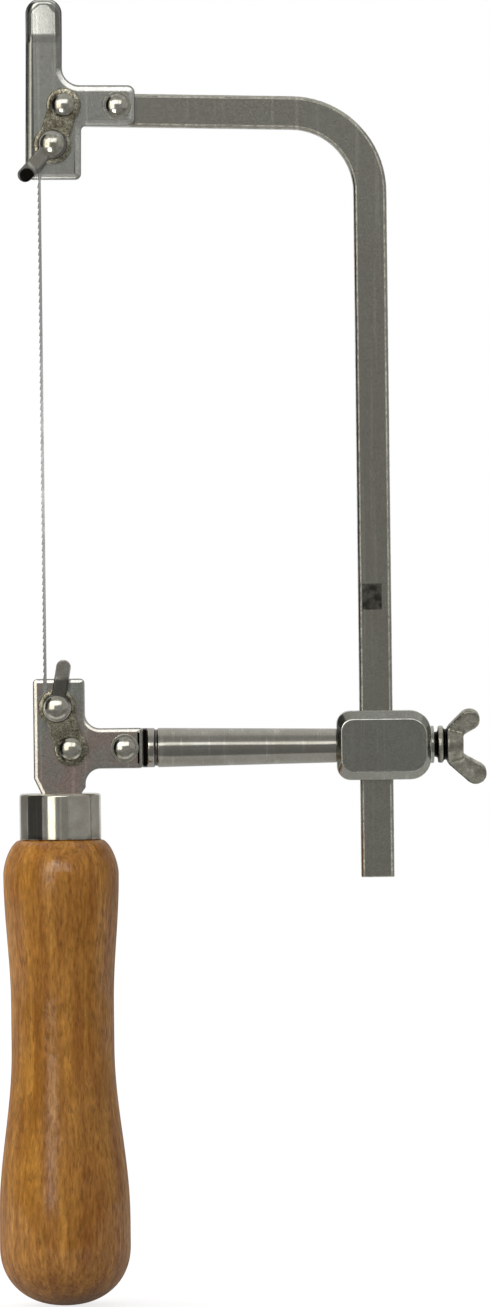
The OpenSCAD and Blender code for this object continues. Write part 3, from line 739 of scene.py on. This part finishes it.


# The block's and the bar's edge colours are much lighter than their plates: rubbed plating and a painted
# highlight along the rounded edges.
block_plate = plated("block plate", plate=(177, 179, 169), tarnish=(172, 171, 161), edge=(228, 227, 220),
                     gloss=0.18, gloss_change=0.01, speckle=0.30, scratches=0.10, cloud_scale=90.0)
bar_plate = plated("bar plate", plate=(185, 184, 171), tarnish=(178, 175, 163), edge=(240, 238, 230),
                   gloss=0.17, gloss_change=0.01, speckle=0.32, scratches=0.15, cloud_scale=60.0,
                   edge_dullness=0.80, dirt_and_shade=stamp_grime)
block = eased("slider_block", "milled_slider_block", block_edge, block_plate, segments=3, sharp=30)
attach(block, "holder")
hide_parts("slider_block")
bar = eased("frame_bar", "bent_frame_bar", bar_edge, bar_plate, segments=3, sharp=30)
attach(bar, "frame")
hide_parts("frame_bar")


# Rivets. Two plain ones on washers and two guide rivets with a shoulder for the jaws, turned from plated
# steel. Each is set over at the back, so it has a button head at both ends.
rivet_radius = 0.0015
guide_radius = 0.0019
rivet_head = (0.0026, 0.0015)
rivet_tail = (0.0023, 0.0012)
guide_head_foot = 0.00373
rivet_seats = {"lower": -0.0066, "upper": -0.0053}
rivet_span = (0.0, 0.0190)
rivet_segments = 48
washer_bore = 0.00155
washer_radius = 0.0034
washer_thickness = 0.0005
washer_chamfer = 0.0001
cap_share = 0.78
cap_slope = 0.37
rim_slope = 0.66


def dome(radius, z, height, steps=12):
    """Points of a button head from its foot to its top: an upright edge, a bevelled rim and a low cap."""
    up = math.copysign(1.0, height)
    cap_height = cap_slope * cap_share * radius / 2
    rim_height = rim_slope * (1 - cap_share) * radius
    cap = [(cap_share * radius * (1 - i / steps), z + height - up * cap_height * (1 - i / steps) ** 2)
           for i in range(steps + 1)]
    return [(radius, z), (radius, z + height - up * (cap_height + rim_height))] + cap


def rivet_profile(seat, head_foot, shoulder=False):
    """A rivet's outline from tail to head, with heights towards the front. A jaw slides on a shoulder."""
    tail = dome(rivet_tail[0], seat, -rivet_tail[1])[::-1]
    neck = [(rivet_radius, seat), (rivet_radius, plate_front)]
    if shoulder:
        neck += [(guide_radius, plate_front), (guide_radius, head_foot)]
    else:
        neck += [(rivet_radius, head_foot)]
    return tail + neck + dome(rivet_head[0], head_foot, rivet_head[1])


def setting_tree():
    """Node tree that sets a copy of a shape on each point."""
    tree = bpy.data.node_groups.new("setting", "GeometryNodeTree")
    sockets(tree, "INPUT", {"Points": "Geometry", "Shape": "Object"})
    sockets(tree, "OUTPUT", {"Geometry": "Geometry"})
    add = node_maker(tree)
    given = add("NodeGroupInput").outputs
    model = add("GeometryNodeObjectInfo", {"Object": given["Shape"], "As Instance": True})
    copies = add("GeometryNodeInstanceOnPoints", {"Points": given["Points"],
                                                  "Instance": model.outputs["Geometry"]})
    solid = add("GeometryNodeRealizeInstances", {"Geometry": copies.outputs[0]})
    add("NodeGroupOutput", {0: solid.outputs[0]})
    return tree


setting = setting_tree()


def placed(name, shape, spot):
    """A turned shape as a piece on a point (x, z) of the front."""
    x, z = spot
    mesh = made_by_tree(name, [(x, 0, z)], setting, {"Shape": shape})
    bpy.data.objects.remove(shape)
    return added(name, mesh)


def joined(name, parts, material):
    """Joins pieces of one body into one mesh."""
    bm = bmesh.new()
    for part in parts:
        bm.from_mesh(part.data)
    mesh = bpy.data.meshes.new(name)
    bm.to_mesh(mesh)
    bm.free()
    mesh.materials.append(material)
    mesh.shade_smooth()
    for part in parts:
        bpy.data.objects.remove(part)
    return added(name, mesh)


def facing(add, direction, low, high, most):
    """Mask of the surfaces that look in a direction."""
    normal = add("ShaderNodeTexCoord").outputs["Normal"]
    towards = add("ShaderNodeVectorMath", {0: normal, 1: direction}, operation="DOT_PRODUCT")
    return mapped(add, towards.outputs["Value"], low, high, most=most)


def rim_painted_shade(add):
    """Mask of painted shade on those rims of the rivets' heads that look to the left."""
    rims = facing(add, (-1.0, 0.0, 0.0), low=0.38, high=0.48, most=0.85)
    return combined(add, [slab(add, "X", *rivet_span), rims], "MULTIPLY")


polished_nickel = plated("polished nickel", plate=(230, 228, 216), tarnish=(186, 182, 164),
                         edge=(236, 233, 224), gloss=0.12, gloss_change=0.05, speckle=0.30, scratches=0.10,
                         cloud_scale=800.0, relief=0.000006, dirt_and_shade=rim_painted_shade)
washer_front = plate_front + washer_thickness
washer_flat = washer_radius - washer_chamfer
washer_profile = [(washer_bore, plate_front), (washer_flat, plate_front),
                  (washer_radius, plate_front + washer_chamfer),
                  (washer_radius, washer_front - washer_chamfer), (washer_flat, washer_front),
                  (washer_bore, washer_front), (washer_bore, plate_front)]
for level, body in bracket_bodies.items():
    seat = rivet_seats[level]
    parts = []
    guide_profile = rivet_profile(seat, guide_head_foot, shoulder=True)
    plain_profile = rivet_profile(seat, washer_front)
    for kind, profile, spot in (("_guide", guide_profile, guide_spots[level]),
                                ("_plain", plain_profile, rivet_spots[level]),
                                ("_washer", washer_profile, rivet_spots[level])):
        form = turned(level + kind + "_form", profile, rivet_segments, polished_nickel, towards_front=True)
        parts.append(placed(level + kind, form, spot))
    rivets = joined(level + "_rivets", parts, polished_nickel)
    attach(rivets, body)
    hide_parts(level + "_guide_rivet", level + "_rivet", level + "_rivet_washer")


# Clamps. On each bracket a nickel-plated jaw plate slides on its guide rivet, and a hexagon nut is fixed
# behind. A polished screw with a domed head carries a flat lever of worn steel, bent outwards. The lower
# lever is darker at its root, and the upper one over its end, with a black tip. On the jaws, painted shade
# rings the screws' heads and lies to the left of the guide rivets' heads.
jaw_edge = 0.00035
nut_edge = 0.00020
lever_edge = 0.00040
lever_bend = 0.0005
screw_radius = 0.0020
screw_head = (0.0028, 0.0020)
screw_head_foot = 0.00462
screw_end = -0.0047
screw_chamfer = 0.0005
screw_segments = 64
jaw_ring = 0.0034
jaw_ring_share = 0.95
guide_shade_offset = 0.0006
guide_shade = 0.0027
guide_shade_share = 0.8
lower_lever_root = (0.0884, 0.0933)
lower_lever_soft = 0.0010
lower_lever_share = 0.82
upper_lever = (0.2000, 0.2250)
upper_lever_share = 0.60
upper_lever_tip = (-0.0060, 0.2133)
lever_tip_radius = 0.0016
lever_tip_soft = 0.0008


def disc(add, x, z, radius, soft=0.0003):
    """Mask of a round spot seen from the front."""
    flat = add("ShaderNodeVectorMath", {0: add("ShaderNodeTexCoord").outputs["Object"], 1: (1, 0, 1)},
               operation="MULTIPLY")
    off = add("ShaderNodeVectorMath", {0: flat.outputs[0], 1: (x, 0, z)}, operation="DISTANCE")
    return mapped(add, off.outputs["Value"], low=radius, high=radius + soft, least=1.0, most=0.0)


def jaw_painted_shade(add):
    """Mask of painted shade around the screws' heads and to the left of the guide rivets' heads, broken up
    by noise.
    """
    spots = [part_of(add, disc(add, x, z, jaw_ring), jaw_ring_share) for x, z in clamp_spots.values()]
    spots += [part_of(add, disc(add, x - guide_shade_offset, z, guide_shade), guide_shade_share)
              for x, z in guide_spots.values()]
    return combined(add, [combined(add, spots), patches(add, scale=900.0, low=0.32, high=0.52)], "MULTIPLY")


def lever_dark_marks(add):
    """Mask of the lower lever's dark root and the darker upper lever with its black tip."""
    root = slab(add, "Z", *lower_lever_root, lower_lever_soft)
    upper = slab(add, "Z", *upper_lever)
    tip = disc(add, *upper_lever_tip, lever_tip_radius, lever_tip_soft)
    return combined(add, [part_of(add, root, lower_lever_share), part_of(add, upper, upper_lever_share),
                          tip])


jaw_nickel = plated("jaw nickel", plate=(176, 172, 152), tarnish=(108, 102, 84), edge=(172, 169, 152),
                    gloss=0.20, gloss_change=0.10, speckle=1.30, scratches=0.20, cloud_scale=700.0,
                    dirt_and_shade=jaw_painted_shade)
lever_steel = plated("lever steel", plate=(216, 213, 203), tarnish=(188, 184, 172), edge=(224, 221, 212),
                     gloss=0.26, gloss_change=0.10, speckle=0.30, scratches=0.30, cloud_scale=420.0,
                     dirt_and_shade=lever_dark_marks)
screw_profile = ([(0, screw_end), (screw_radius - screw_chamfer, screw_end),
                  (screw_radius, screw_end + screw_chamfer), (screw_radius, screw_head_foot)]
                 + dome(screw_head[0], screw_head_foot, screw_head[1]))
for level, body in bracket_bodies.items():
    nut = eased(level + "_clamp_nut", level + "_hexagon_nut", nut_edge, satin_nickel, segments=2)
    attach(nut, body)
    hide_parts(level + "_clamp_nut")
    jaw = eased(level + "_jaw", level + "_jaw_plate", jaw_edge, jaw_nickel, segments=3)
    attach(jaw, level + "_jaw")
    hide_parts(level + "_jaw")
    lever = eased(level + "_clamp_lever", level + "_bent_lever", lever_edge, lever_steel, segments=3,
                  bend=lever_bend)
    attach(lever, level + "_screw")
    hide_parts(level + "_clamp_lever")
    form = turned(level + "_screw_form", screw_profile, screw_segments, polished_nickel, towards_front=True)
    screw = placed(level + "_domed_screw", form, clamp_spots[level])
    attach(screw, level + "_screw")
    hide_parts(level + "_clamp_screw")


# Blade. A plain strip of tempered steel with punched teeth, ground bright on its sides. The CAD part has
# its shape and only gets this material.
def coated(node, material):
    """Gives a CAD part that shows a material of its own."""
    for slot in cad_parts[node].material_slots:
        slot.material = material


blade_steel = plated("blade steel", plate=(180, 180, 178), tarnish=(150, 150, 148), edge=(190, 190, 188),
                     gloss=0.24, gloss_change=0.10, speckle=0.10, scratches=0.30, cloud_scale=300.0,
                     relief=0.000004)
coated("blade", blade_steel)


# Wing screw and pad. The screw is a casting with a flange, a hub and two wings, plated and worn, with a
# sandy skin. Painted shade darkens its two grooves and the wings' sides that look back down at the block.
# The loose brass pad between its tip and the bar keeps its CAD shape.
wing_edge = 0.0001
wing_voxel = 0.00028
wing_smoothing = 5
wing_grooves = ((0.08930, 0.09012), (0.09148, 0.09230))
wing_shaded_side = (-0.90, 0.0, -0.44)


def wing_painted_shade(add):
    """Mask of painted shade in the two grooves and on the wings' sides that look back down at the block."""
    grooves = [slab(add, "X", *groove) for groove in wing_grooves]
    return combined(add, grooves + [facing(add, wing_shaded_side, low=0.22, high=0.60, most=0.8)])


cast_nickel = plated("cast nickel", plate=(206, 203, 187), tarnish=(152, 148, 135), edge=(215, 213, 202),
                     gloss=0.26, gloss_change=0.16, speckle=0.50, scratches=0.15, cloud_scale=420.0,
                     relief=0.00008, dirt_and_shade=wing_painted_shade)
wing = eased("wing_screw", "cast_wing_screw", wing_edge, cast_nickel, segments=1)
wing.modifiers.clear()
cast = wing.modifiers.new("cast form", "REMESH")
cast.mode = "VOXEL"
cast.voxel_size = wing_voxel
soften = wing.modifiers.new("cast edges", "SMOOTH")
soften.iterations = wing_smoothing
wing.data = made_by_modifiers(wing)
wing.data.shade_smooth()
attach(wing, "wing_screw")
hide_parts("wing_screw")

brass = plated("turned brass", plate=(206, 172, 100), tarnish=(160, 126, 64), edge=(220, 190, 120),
               gloss=0.28, cloud_scale=400.0)
coated("pressure_pad", brass)
